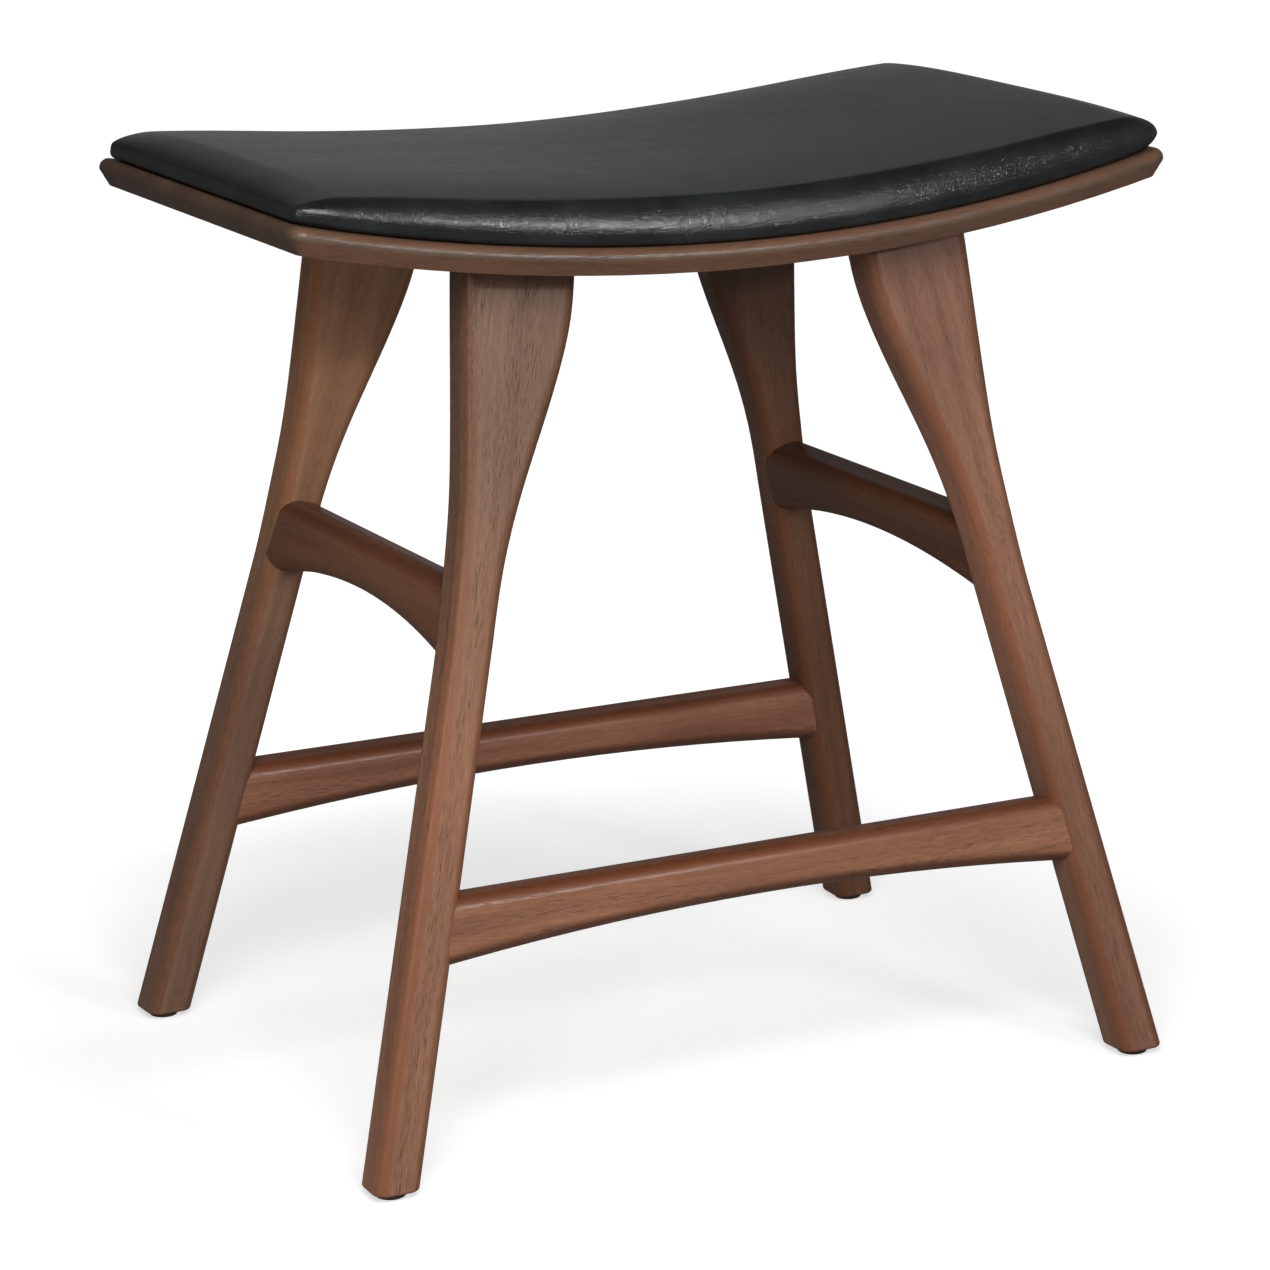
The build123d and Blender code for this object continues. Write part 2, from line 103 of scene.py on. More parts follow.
def alongAxis(tree, vector, axis):
    # how far the vector reaches along a direction
    return vectorNode(tree, "DOT_PRODUCT", vector, tuple(axis), 1)


def partOf(tree, vector, letter):
    return addNode(tree, "SeparateXYZ", Vector=vector).outputs[letter]


def objectPlace(tree):
    return tree.nodes.new("ShaderNodeTexCoord").outputs["Object"]


def faceNormal(tree):
    return tree.nodes.new("ShaderNodeNewGeometry").outputs["Normal"]


def spread(tree, value, low, high, outLow=0.0, outHigh=1.0, smooth=True):
    # carries low..high over to outLow..outHigh, held at the ends
    node = tree.nodes.new("ShaderNodeMapRange")
    node.interpolation_type = "SMOOTHSTEP" if smooth else "LINEAR"
    for socket, amount in zip(node.inputs, (value, low, high, outLow, outHigh)):
        feed(tree, socket, amount)
    return node.outputs[0]


def blendColour(tree, factor, first, second, way="MIX"):
    node = tree.nodes.new("ShaderNodeMix")
    node.data_type = "RGBA"
    node.blend_type = way
    for index, value in ((0, factor), (6, first), (7, second)):  # the colour sockets
        feed(tree, node.inputs[index], value)
    return node.outputs[2]


def tinted(tree, colour, tint):
    return blendColour(tree, 1.0, colour, tint, "MULTIPLY")


def rampNode(tree, value, stops):
    # colours at rising positions, even between them
    node = tree.nodes.new("ShaderNodeValToRGB")
    marks = node.color_ramp.elements
    while len(marks) < len(stops):
        marks.new(0.5)
    for mark, (position, colour) in zip(marks, stops):
        mark.position = position
        mark.color = colour
    tree.links.new(value, node.inputs[0])
    return node.outputs[0]


def stretched(tree, place, scale, detail=3.0, roughness=0.5, distortion=0.0):
    # noise with so many features per metre in each direction
    scaled = vectorNode(tree, "MULTIPLY", place, scale)
    noise = addNode(tree, "TexNoise", Vector=scaled, Scale=1.0, Detail=detail,
                    Roughness=roughness, Distortion=distortion)
    return noise.outputs[0]


# Camera: where the photograph was taken from
photoView = {
    "place": (-1.02027, -2.01004, 0.80346),
    "yaw": 26.900,  # degrees, from +Y towards +X
    "pitch": 14.573,  # degrees, downwards
    "roll": -0.650,
    "lens": 127.33,  # mm
    "sensor": 36.0,  # mm, across the square picture
    "nearest": 0.05,
    "farthest": 100.0,
}


def setCamera(view):
    yaw, pitch, roll = (math.radians(view[key]) for key in ("yaw", "pitch", "roll"))
    ahead = Vector((math.sin(yaw) * math.cos(pitch), math.cos(yaw) * math.cos(pitch), -math.sin(pitch)))
    right = Vector((math.cos(yaw), -math.sin(yaw), 0.0))
    up = right.cross(ahead)
    turnedRight = math.cos(roll) * right + math.sin(roll) * up
    turnedUp = -math.sin(roll) * right + math.cos(roll) * up
    data = bpy.data.cameras.new("photoCamera")
    data.sensor_fit = "HORIZONTAL"
    data.sensor_width = view["sensor"]
    data.lens = view["lens"]
    data.clip_start = view["nearest"]
    data.clip_end = view["farthest"]
    camera = bpy.data.objects.new("photoCamera", data)
    bpy.context.scene.collection.objects.link(camera)
    turn = Matrix((turnedRight, turnedUp, -ahead)).transposed()
    camera.matrix_world = Matrix.Translation(view["place"]) @ turn.to_4x4()
    bpy.context.scene.camera = camera


setCamera(photoView)
print("stool: camera set")


# Wood: straight-grained brown hardwood with open pores, under a thin satin oil
plain = (1.0, 1.0, 1.0, 1.0)  # a tint that changes nothing
frameWood = {
    "dark": tone(94, 66, 51),
    "middle": tone(122, 89, 70),
    "pale": tone(146, 112, 91),
    "edgeShadeRed": tone(112, 69, 46),  # painted shade: darker and redder on the rounded edges
    "pore": tone(40, 25, 18),
    # noises, in features per metre along, across and across the grain
    "wave": (6.0, 5.0, 5.0),
    "figure": (2.4, 46.0, 46.0),
    "figureNoise": (3.0, 0.55, 0.6),  # detail, roughness, distortion
    "streak": (9.0, 330.0, 330.0),
    "streakNoise": (3.0, 0.6, 0.2),
    "fibre": (115.0, 1300.0, 1300.0),
    "fibreNoise": (3.0, 0.7),
    "poreGrain": (110.0, 3000.0, 3000.0),
    "lane": (5.0, 110.0, 110.0),
    "wander": 0.012,  # how far the wave bends the grain, in metres
    "figureShare": 0.42,
    "streakShare": 0.20,  # the fibre has the rest
    "rampHalf": 0.20,  # how far the dark and pale ends lie from the middle of the noise
    "edgeReach": (0.25, 0.85),  # how round an edge is where the red starts and is full
    "edgeStreak": (0.3, 0.6, 0.65, 1.0),  # streak from, to; share of the red there
    "edgeShare": 0.70,
    "poreLow": 0.575,  # noise above which a pore opens
    "poreSoft": 0.09,
    "laneReach": (0.38, 0.62),
    "laneRest": 0.10,  # share of the pores left between their lanes
    "poreShare": 0.80,
    "topShade": plain,  # painted shade: tint that darkens the parts that face upwards
    "topReach": (0.3, 0.9),  # upward part of the normal
    "underShade": plain,  # painted shade: tint that darkens those that face downwards
    "underReach": (-0.5, -0.05),
    "tintLow": plain,  # tint of the whole below and above a height: painted shade and light, partly the board's own tone
    "tintHigh": plain,
    "tintReach": (0.18, 0.36),
    "neck": (0.14, 0.24, 0.30, 0.38),  # painted light: heights between which the colour is lifted
    "neckLift": 1.0,
    "roughness": 0.40,
    "edgeRoughness": 0.27,
    "polishReach": (0.08, 0.5),
    "fibreRoughness": 0.06,
    "poreRoughness": 0.2,
    "specular": 0.32,
    "fibreRelief": 0.35,
    "reliefStrength": 0.35,
    "reliefDepth": 0.0003,
}
# painted shade and light, partly each board's own tone: a tint below and above the legs' necks
legWood = {
    "frontLeft": dict(
        frameWood, tintLow=(1.04, 0.96, 0.91, 1.0), tintHigh=(0.60, 0.62, 0.61, 1.0),
        poreShare=0.74, neckLift=1.08),
    "frontRight": dict(
        frameWood, tintLow=(0.80, 0.73, 0.71, 1.0), tintHigh=(0.79, 0.71, 0.71, 1.0),
        poreShare=0.45, neckLift=1.3),
    "backLeft": dict(
        frameWood, tintLow=(0.73, 0.76, 0.78, 1.0), tintHigh=(1.38, 1.34, 1.16, 1.0),
        poreShare=0.35, figureShare=0.55),
    "backRight": dict(
        frameWood, tintLow=(0.54, 0.47, 0.41, 1.0), tintHigh=(0.45, 0.40, 0.37, 1.0),
        poreShare=0.4, neckLift=1.3),
}
longWood = dict(
    frameWood, dark=tone(92, 58, 42), middle=tone(124, 84, 63), pale=tone(152, 108, 83),
    poreShare=0.6, figureShare=0.5, topShade=(0.60, 0.50, 0.44, 1.0), underShade=(0.60, 0.58, 0.56, 1.0))
sideWood = dict(
    frameWood, dark=tone(88, 57, 42), middle=tone(116, 80, 61), pale=tone(140, 102, 80),
    poreShare=0.55, topShade=(0.66, 0.56, 0.50, 1.0))
seatWood = dict(
    frameWood, dark=tone(57, 43, 34), middle=tone(74, 57, 46), pale=tone(91, 73, 60),
    edgeShadeRed=tone(104, 70, 52), edgeShare=0.45, streak=(11.0, 420.0, 420.0), poreShare=0.6)
dowelWood = dict(
    frameWood, dark=tone(176, 142, 104), middle=tone(196, 162, 122), pale=tone(212, 180, 140),
    edgeShadeRed=tone(180, 146, 108), pore=tone(150, 112, 76), figure=(12.0, 200.0, 200.0),
    streak=(30.0, 800.0, 800.0), fibre=(80.0, 2400.0, 2400.0), poreGrain=(400.0, 3000.0, 3000.0),
    figureShare=0.4, streakShare=0.4, edgeShare=0.3, poreShare=0.4, poreLow=0.6,
    roughness=0.59, edgeRoughness=0.62, specular=0.3, wander=0.004)


def grainAxes(grain):
    # the grain's direction and two square to it
    along = Vector(grain).normalized()
    helper = Vector((0.0, 1.0, 0.0)) if abs(along.y) < 0.5 else Vector((1.0, 0.0, 0.0))
    sideA = (helper - helper.dot(along) * along).normalized()
    return along, sideA, along.cross(sideA)


def makeWood(name, look, grain, shift=(0.0, 0.0, 0.0)):
    # colour = ramp of stretched noises along the grain, with painted shade that darkens and reddens the rounded
    # edges, darkened in pores
    material, tree, shader = newMaterial(name)
    axes = grainAxes(grain)
    place = objectPlace(tree)
    placed = vectorNode(tree, "ADD", place, shift)
    parts = [alongAxis(tree, placed, axis) for axis in axes]
    inGrain = addNode(tree, "CombineXYZ", X=parts[0], Y=parts[1], Z=parts[2]).outputs[0]
    # the grain wanders a little from the axis
    wave = mathNode(tree, "SUBTRACT", stretched(tree, inGrain, look["wave"], detail=2.0), 0.5)
    bend = product(tree, wave, look["wander"])
    inGrain = vectorNode(tree, "ADD", inGrain, addNode(tree, "CombineXYZ", Y=bend, Z=bend).outputs[0])
    figure = stretched(tree, inGrain, look["figure"], *look["figureNoise"])
    streak = stretched(tree, inGrain, look["streak"], *look["streakNoise"])
    fibre = stretched(tree, inGrain, look["fibre"], *look["fibreNoise"])
    pore = stretched(tree, inGrain, look["poreGrain"], detail=1.0)
    lanes = stretched(tree, inGrain, look["lane"], detail=2.0)
    fibreShare = 1.0 - look["figureShare"] - look["streakShare"]
    mixed = shareOf(tree, streak, look["streakShare"], product(tree, fibre, fibreShare))
    mixed = shareOf(tree, figure, look["figureShare"], mixed)
    half = look["rampHalf"]
    stops = ((0.5 - half, look["dark"]), (0.5, look["middle"]), (0.5 + half, look["pale"]))
    colour = rampNode(tree, mixed, stops)
    # rounded edges: twice the product of the two side parts of the normal, strongest where both are equal
    facing = faceNormal(tree)
    sideParts = [alongAxis(tree, facing, axis) for axis in axes[1:]]
    corner = mathNode(tree, "ABSOLUTE", product(tree, *sideParts, 2.0))
    # painted shade: the rounded edges take the darker, redder edge colour
    edge = product(tree, spread(tree, corner, *look["edgeReach"]), spread(tree, streak, *look["edgeStreak"]))
    colour = blendColour(tree, product(tree, edge, look["edgeShare"]), colour, look["edgeShadeRed"])
    # pores: the peaks of a fine noise, in lanes along the grain
    dots = spread(tree, pore, look["poreLow"], look["poreLow"] + look["poreSoft"])
    dotLanes = spread(tree, lanes, *look["laneReach"], look["laneRest"], 1.0)
    poreAmount = product(tree, dots, dotLanes, look["poreShare"])
    colour = blendColour(tree, poreAmount, colour, look["pore"])
    # painted shade and light: tints by the way a part faces and by its height
    upward = partOf(tree, facing, "Z")
    top = spread(tree, upward, *look["topReach"])
    colour = blendColour(tree, top, colour, tinted(tree, colour, look["topShade"]))
    under = spread(tree, upward, *look["underReach"], 1.0, 0.0)
    colour = blendColour(tree, under, colour, tinted(tree, colour, look["underShade"]))
    height = partOf(tree, place, "Z")
    tint = blendColour(tree, spread(tree, height, *look["tintReach"]), look["tintLow"], look["tintHigh"])
    colour = tinted(tree, colour, tint)
    # painted light: the colour is lifted between the neck's heights
    low, full, fading, high = look["neck"]
    neck = product(tree, spread(tree, height, low, full), spread(tree, height, fading, high, 1.0, 0.0))
    colour = tinted(tree, colour, shareOf(tree, neck, look["neckLift"] - 1.0, 1.0))
    # satin on the flats, polished by hands on the edges, dull in the pores
    polish = spread(tree, corner, *look["polishReach"], look["roughness"], look["edgeRoughness"], False)
    dull = shareOf(tree, fibre, look["fibreRoughness"], product(tree, poreAmount, look["poreRoughness"]))
    relief = shareOf(tree, poreAmount, -1.0, product(tree, fibre, look["fibreRelief"]))
    bump = addNode(tree, "Bump", Strength=look["reliefStrength"], Distance=look["reliefDepth"], Height=relief)
    setInputs(tree, shader, Base_Color=colour, Roughness=mathNode(tree, "ADD", polish, dull),
              Specular_IOR_Level=look["specular"], Normal=bump.outputs[0])
    return material


def dress(nodeName, material):
    # the CAD node keeps its mesh and takes the material in every slot
    mesh = nodes[nodeName].data
    if not len(mesh.materials):
        mesh.materials.append(material)
    for index in range(len(mesh.materials)):
        mesh.materials[index] = material


legLean = (13.8, 8.3)  # degrees from upright, along and across the seat
legStep = (0.37, 0.53, 0.11)  # how far apart in the wood the legs are cut
# each rail: material, wood, direction of the grain, place in the wood, tint; the tint is painted shade, darkest
# on the right side rail
rails = {
    "front_stretcher":
        ("frontStretcherWood", longWood, (1.0, 0.0, 0.0), (0.21, 0.7, 0.3), (0.93, 0.91, 0.90, 1.0)),
    "back_stretcher":
        ("backStretcherWood", longWood, (1.0, 0.0, 0.0), (0.83, 0.7, 0.3), (0.92, 0.90, 0.94, 1.0)),
    "left_side_stretcher":
        ("leftStretcherWood", sideWood, (0.0, 1.0, 0.0), (0.42, 0.1, 0.6), (0.72, 0.66, 0.60, 1.0)),
    "right_side_stretcher":
        ("rightStretcherWood", sideWood, (0.0, 1.0, 0.0), (0.97, 0.1, 0.6), (0.47, 0.43, 0.36, 1.0)),
}

splay, rake = (math.tan(math.radians(angle)) for angle in legLean)
for sideName, sideSign in (("left", -1), ("right", 1)):
    for endName, endSign in (("front", -1), ("back", 1)):
        grain = (-sideSign * splay, -endSign * rake, 1.0)
        shift = (legStep[0] * sideSign, legStep[1] * endSign, legStep[2] * sideSign * endSign)
        board = endName + sideName.capitalize()
        dress(endName + "_" + sideName + "_leg", makeWood(board + "LegWood", legWood[board], grain, shift))
for nodeName, (materialName, wood, grain, shift, tint) in rails.items():
    dress(nodeName, makeWood(materialName, dict(wood, tintLow=tint, tintHigh=tint), grain, shift))
dress("seat_panel", makeWood("seatPanelWood", seatWood, (1.0, 0.0, 0.0), (0.55, 0.33, 0.27)))
print("stool: frame wood made")


# Seat: its upper face is an arc of a circle that dips this deep over its length
seatForm = {"half": 0.2390, "dip": 0.0258, "level": 0.444}


def dipRadius(form):
    return (form["half"] ** 2 + form["dip"] ** 2) / (2.0 * form["dip"])


# Joint and fixing pieces: pale beech dowels, birch ply, zinc-plated steel, brown nylon
boardLook = {
    "face": tone(200, 168, 126),
    "glue": tone(120, 84, 54),
    "fibre": (30.0, 900.0, 900.0),
    "fibreShare": 0.3,
    "plies": 5.0,
    "thickness": 0.005,
    "lineReach": (0.40, 0.47),  # from the middle of a ply, in plies
    "lineShare": 0.7,
    "edgeReach": (0.3, 0.7),  # the lines show where the face is turned this far from up
    "roughness": 0.6,
}
zincLook = {
    "colour": tone(186, 188, 192), "cloud": tone(160, 162, 168), "grain": (420.0, 420.0, 420.0),
    "roughness": 0.26, "cloudRoughness": 0.16,
}
glideLook = {
    "colour": tone(72, 52, 40), "worn": tone(92, 70, 55), "grain": (900.0, 260.0, 900.0),
    "wearHeight": 0.0012, "wearAbove": 0.15, "roughness": 0.48, "scuffRoughness": 0.14,
}


def makePly(name, look, form):
    # plies follow the dip: the distance from the dip's axis, in steps of one ply,
    # gives thin darker glue lines
    material, tree, shader = newMaterial(name)
    place = objectPlace(tree)
    radius = dipRadius(form)
    sideways = partOf(tree, place, "X")
    fromAxis = mathNode(tree, "SUBTRACT", partOf(tree, place, "Z"), form["level"] + radius)
    squares = mathNode(tree, "ADD", product(tree, sideways, sideways), product(tree, fromAxis, fromAxis))
    depth = mathNode(tree, "SUBTRACT", radius, mathNode(tree, "SQRT", squares))
    share = mathNode(tree, "FRACT", product(tree, depth, look["plies"] / look["thickness"]))
    fromMiddle = mathNode(tree, "ABSOLUTE", mathNode(tree, "SUBTRACT", share, 0.5))
    fibre = stretched(tree, place, look["fibre"])
    wood = blendColour(tree, product(tree, fibre, look["fibreShare"]), look["face"], look["glue"])
    upward = mathNode(tree, "ABSOLUTE", partOf(tree, faceNormal(tree), "Z"))
    onEdge = spread(tree, upward, *look["edgeReach"], 1.0, 0.0)
    line = product(tree, spread(tree, fromMiddle, *look["lineReach"]), onEdge, look["lineShare"])
    setInputs(tree, shader, Base_Color=blendColour(tree, line, wood, look["glue"]), Roughness=look["roughness"])
    return material


def makeMetal(name, look):
    # bright zinc with soft grey clouds, which are a little rougher
    material, tree, shader = newMaterial(name)
    cloud = stretched(tree, objectPlace(tree), look["grain"])
    setInputs(tree, shader, Base_Color=blendColour(tree, cloud, look["colour"], look["cloud"]), Metallic=1.0,
              Roughness=shareOf(tree, cloud, look["cloudRoughness"], look["roughness"]))
    return material


def makePlastic(name, look):
    # scuffed paler underneath, where the glide slides on the floor
    material, tree, shader = newMaterial(name)
    place = objectPlace(tree)
    scuff = stretched(tree, place, look["grain"])
    height = partOf(tree, place, "Z")
    wear = product(tree, scuff, spread(tree, height, 0.0, look["wearHeight"], 1.0, look["wearAbove"]))
    setInputs(tree, shader, Base_Color=blendColour(tree, wear, look["colour"], look["worn"]),
              Roughness=shareOf(tree, scuff, look["scuffRoughness"], look["roughness"]))
    return material


zincSteel, glideNylon = makeMetal("zincSteel", zincLook), makePlastic("brownNylon", glideLook)
for name in ("pad_tnuts", "pad_screws", "glide_pins"):
    dress(name, zincSteel)
dress("pad_board", makePly("birchPly", boardLook, seatForm))
legDowelWood = makeWood("legDowelBeech", dowelWood, (0.0, 0.0, 1.0))
longDowelWood = makeWood("longDowelBeech", dowelWood, (1.0, 0.0, 0.0))
sideDowelWood = makeWood("sideDowelBeech", dowelWood, (0.0, 1.0, 0.0))
for endName in ("front", "back"):
    dress(endName + "_stretcher_dowels", longDowelWood)
    for sideName in ("left", "right"):
        dress(endName + "_" + sideName + "_glide", glideNylon)
        dress(endName + "_" + sideName + "_leg_dowels", legDowelWood)
for sideName in ("left", "right"):
    dress(sideName + "_side_stretcher_dowels", sideDowelWood)
print("stool: fixings dressed")


# Pad: foam upholstered in black leather, crowned, with a soft roll round its top
padShape = {
    "halfLength": 0.2341,  # of the board's plan
    "endHalfWidth": 0.1230,
    "bow": 0.0130,  # how much wider half the plan is in the middle
    "shift": 0.0023,  # towards +X, above the board
    "bulge": 0.0022,  # past the board at the widest line
    "tuck": 0.0028,  # drawn in where it meets the wood
    "rollEnd": 0.0240,  # width of the roll, from the widest line inwards
    "rollSide": 0.0085,
    "square": 2.15,  # how square the corners are in plan
    "section": 1.92,  # how square the roll is in section
    "underCurve": 0.77,  # the same below its widest line: 1 is an ellipse, less is squarer
    "widestHeight": 0.0058,
    "endThickness": 0.0128,
    "middleThickness": 0.0228,
    "fallPower": 4.2,  # how late the thickness falls off towards the ends
    "crown": 0.0055,
    "crownHalf": 0.145,  # distance from the middle line at which the crown is nil
    "crownPower": 3.4,
    "lean": 0.0030,  # fuller towards +X
    "tip": 0.0006,  # fuller towards +Y
    "lift": 0.0004,  # clear of the wood
    "swell": 0.0008,  # how much lower the foam starts, and the cap on its movement
    "alongCells": 84,
    "endCells": 42,
    "arcCells": 14,
    "tuckCells": 5,
    "rollCells": 14,
    "innerShare": 0.35,  # where the roll's rings hand over to the top
    "pressure": 0.5,
    "stretch": 40.0,
    "bending": 5.0,
    "drag": 5.0,
    "steps": 20,
    "evenPasses": 14,
    "smoothing": 1,
    "fill": 0.9,
}


def seatSurface(x):
    # arc of a circle sagging by the dip over the panel's length
    radius = dipRadius(seatForm)
    return seatForm["level"] + radius - np.sqrt(radius ** 2 - x ** 2)


def padSurface(x, y, shape):
    # seat surface plus a thickness that falls to the ends with a power of x,
    # a crown that falls to the sides with a power of y, and two slight slopes
    along, across = x / seatForm["half"], y / shape["crownHalf"]
    fullness = (shape["middleThickness"] - shape["endThickness"]) * (1.0 - np.abs(along) ** shape["fallPower"])
    crown = shape["crown"] * (1.0 - np.abs(across) ** shape["crownPower"])
    slopes = shape["lean"] * along + shape["tip"] * across
    return seatSurface(x) + shape["endThickness"] + fullness + crown + slopes - shape["swell"]


def sideEdge(x, outward, shape):
    # half width at x: the end's, plus a parabola that is fullest in the middle
    return shape["endHalfWidth"] + outward + shape["bow"] * (1.0 - (x / shape["halfLength"]) ** 2)


def padHeight(x, y, shape):
    # over the roll, the pad's surface times (1 - share^n)^(1/n) above the widest line,
    # where share is the superellipse sum of the two distances from the roll's inner edges
    reach = shape["halfLength"] + shape["bulge"]
    fromEnd = np.abs(x) - reach + shape["rollEnd"]
    fromSide = np.abs(y) - sideEdge(x, shape["bulge"], shape) + shape["rollSide"]
    endShare = np.clip(fromEnd / shape["rollEnd"], 0.0, 1.0)
    sideShare = np.clip(fromSide / shape["rollSide"], 0.0, 1.0)
    power, section = shape["square"], shape["section"]
    share = np.clip((endShare ** power + sideShare ** power) ** (1.0 / power), 0.0, 1.0)
    base = seatSurface(x) + shape["lift"] + shape["widestHeight"]
    return base + (padSurface(x, y, shape) - base) * (1.0 - share ** section) ** (1.0 / section)


def padOutline(share, outward, shape):
    # plan ring: rectangle of the roll's inner edges, grown by a superellipse of the share;
    # it starts at the middle of the front left corner
    length = shape["halfLength"] + outward - shape["rollEnd"]
    turn = np.linspace(0.0, np.pi / 2.0, shape["arcCells"] + 1)
    power = shape["square"]
    scale = (np.cos(turn) ** power + np.sin(turn) ** power) ** (-1.0 / power)
    arcX = length + shape["rollEnd"] * share * np.cos(turn) * scale
    arcY = sideEdge(arcX, outward, shape) - shape["rollSide"] * (1.0 - share * np.sin(turn) * scale)
    run = np.linspace(-1.0, 1.0, shape["alongCells"] + 1)[1:-1] * length
    runY = sideEdge(run, outward, shape) - shape["rollSide"] * (1.0 - share)
    climb = np.linspace(-1.0, 1.0, shape["endCells"] + 1)[1:-1] * arcY[0]
    half = shape["arcCells"] // 2
    frontLeft = np.stack((-arcX, -arcY), 1)
    frontRight = np.stack((arcX, -arcY), 1)[::-1]
    front = np.stack((run, -runY), 1)
    right = np.stack((np.full(len(climb), arcX[0]), climb), 1)
    return np.concatenate((
        frontLeft[half:], front, frontRight, right,
        -frontLeft, -front, -frontRight, -right, frontLeft[:half]))


def padRings(shape):
    # section round the edge: a quarter of a squared ellipse tucked in below the widest line,
    # and the roll above it; a ring's place on either is given by an angle
    rings = []
    for angle in np.radians(np.linspace(-90.0, 0.0, shape["tuckCells"] + 1))[:-1]:
        outward, drop = (side ** shape["underCurve"] for side in (max(math.cos(angle), 0.0), -math.sin(angle)))
        inset = (shape["tuck"] + shape["bulge"]) * (1.0 - outward)
        plan = padOutline(1.0, shape["bulge"] - inset, shape)
        plan[:, 0] += shape["shift"] * (1.0 - drop)
        height = shape["lift"] + shape["widestHeight"] * (1.0 - drop)
        rings.append(np.column_stack((plan, seatSurface(plan[:, 0]) + height)))
    for angle in np.linspace(0.0, math.acos(shape["innerShare"]), shape["rollCells"] + 1):
        plan = padOutline(math.cos(angle), shape["bulge"], shape)
        rings.append(np.column_stack((plan, padHeight(plan[:, 0], plan[:, 1], shape))))
    return rings


def ringSides(ring, alongCount, endCount):
    # the ring's four runs, each with both its corners: front, right, back and left, all from -X or -Y
    front = ring[:alongCount + 1]
    right = ring[alongCount:alongCount + endCount + 1]
    back = ring[alongCount + endCount:2 * alongCount + endCount + 1][::-1]
    left = np.concatenate((ring[2 * alongCount + endCount:], ring[:1]))[::-1]
    return front, right, back, left


def coonsGrid(ring, alongCount, endCount):
    # fills the ring with a bilinear Coons patch: sum of the two rulings less the corner blend
    front, right, back, left = ringSides(ring, alongCount, endCount)
    u = np.linspace(0.0, 1.0, alongCount + 1)[None, :, None]
    v = np.linspace(0.0, 1.0, endCount + 1)[:, None, None]
    ruledV = (1 - v) * front[None] + v * back[None]
    ruledU = (1 - u) * left[:, None] + u * right[:, None]
    blend = (1 - u) * (1 - v) * front[0] + u * (1 - v) * front[-1] + (1 - u) * v * back[0] + u * v * back[-1]
    return ruledU + ruledV - blend


def patchIndex(firstOfRing, firstInside, alongCount, endCount):
    # numbers of a patch's points: its border is a ring, its inside is counted on from firstInside
    grid = np.zeros((endCount + 1, alongCount + 1), int)
    walk = firstOfRing + np.arange(2 * (alongCount + endCount))
    grid[0, :], grid[:, -1], grid[-1, :], grid[:, 0] = ringSides(walk, alongCount, endCount)
    inside = np.arange((endCount - 1) * (alongCount - 1)).reshape(endCount - 1, alongCount - 1)
    grid[1:-1, 1:-1] = firstInside + inside
    return grid


def gridQuads(grid):
    corners = (grid[:-1, :-1], grid[:-1, 1:], grid[1:, 1:], grid[1:, :-1])
    return np.column_stack([corner.ravel() for corner in corners])


def ringQuads(ringCount, ringSize):
    # each ring joined to the next above it
    walk = np.arange(ringSize)
    step = np.roll(walk, -1)
    band = np.column_stack((walk, step, ringSize + step, ringSize + walk))
    return np.concatenate([band + k * ringSize for k in range(ringCount - 1)])


def makePad(shape):
    # one closed surface: rings up the side and over the roll, a patch on top and one underneath
    alongCount = shape["alongCells"] + shape["arcCells"]
    endCount = shape["endCells"] + shape["arcCells"]
    ringSize = 2 * (alongCount + endCount)
    rings = padRings(shape)
    top = coonsGrid(rings[-1][:, :2], alongCount, endCount)
    topZ = padHeight(top[..., 0], top[..., 1], shape)
    under = coonsGrid(rings[0][:, :2], alongCount, endCount)
    underZ = seatSurface(under[..., 0]) + shape["lift"]
    topInside = np.concatenate((top, topZ[..., None]), 2)[1:-1, 1:-1].reshape(-1, 3)
    underInside = np.concatenate((under, underZ[..., None]), 2)[1:-1, 1:-1].reshape(-1, 3)
    points = np.concatenate([np.concatenate(rings), topInside, underInside])
    lowSize = shape["tuckCells"] * ringSize  # points below the widest line: as high as the board
    points[lowSize:len(points) - len(underInside), 0] += shape["shift"]
    allRings = len(rings) * ringSize
    topGrid = patchIndex(allRings - ringSize, allRings, alongCount, endCount)
    underGrid = patchIndex(0, allRings + len(topInside), alongCount, endCount)
    faces = np.concatenate((ringQuads(len(rings), ringSize), gridQuads(topGrid), gridQuads(underGrid)[:, ::-1]))
    mesh = bpy.data.meshes.new("leatherPad")
    mesh.from_pydata(points.tolist(), [], faces.tolist())
    mesh.update()
    pad = bpy.data.objects.new("leatherPad", mesh)
    bpy.context.scene.collection.objects.link(pad)
    held = np.unique(np.concatenate((underGrid.ravel(), np.arange(lowSize))))
    return pad, held


